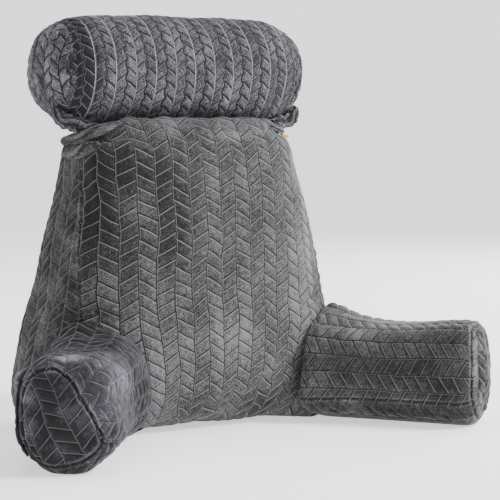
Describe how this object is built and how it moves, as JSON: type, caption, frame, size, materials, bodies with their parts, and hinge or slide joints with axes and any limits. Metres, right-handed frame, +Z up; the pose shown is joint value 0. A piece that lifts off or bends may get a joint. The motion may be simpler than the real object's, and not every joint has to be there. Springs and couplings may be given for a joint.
{
  "type": "reading pillow",
  "caption": "Upright backrest cushion with two splayed padded arms, a neck roll tied on top and a side pocket, for sitting up to read.",
  "frame": {"origin": "on the backrest's flat underside, in its middle plane, where it rests on the bed or floor", "axes": "+Z up; the sitter leans on the face that looks along -Y, and the arms run forward along -Y and outward; +X is the right of a viewer who faces the backrest's front"},
  "size_m": [0.8248, 0.483, 0.6507],
  "materials": {
    "plush_grey": "quilted short-pile plush",
    "brass": "polished"
  },
  "bodies": {
    "root": {"backrest": "plush_grey", "arm_left": "plush_grey", "arm_right": "plush_grey", "neck_roll": "plush_grey", "strap_left": "plush_grey", "strap_right": "plush_grey", "strap_fold_left_upper": "plush_grey", "strap_fold_left_lower": "plush_grey", "strap_fold_right_upper": "plush_grey", "side_pocket": "plush_grey", "zip_pull": "brass"}
  },
  "joints": []
}
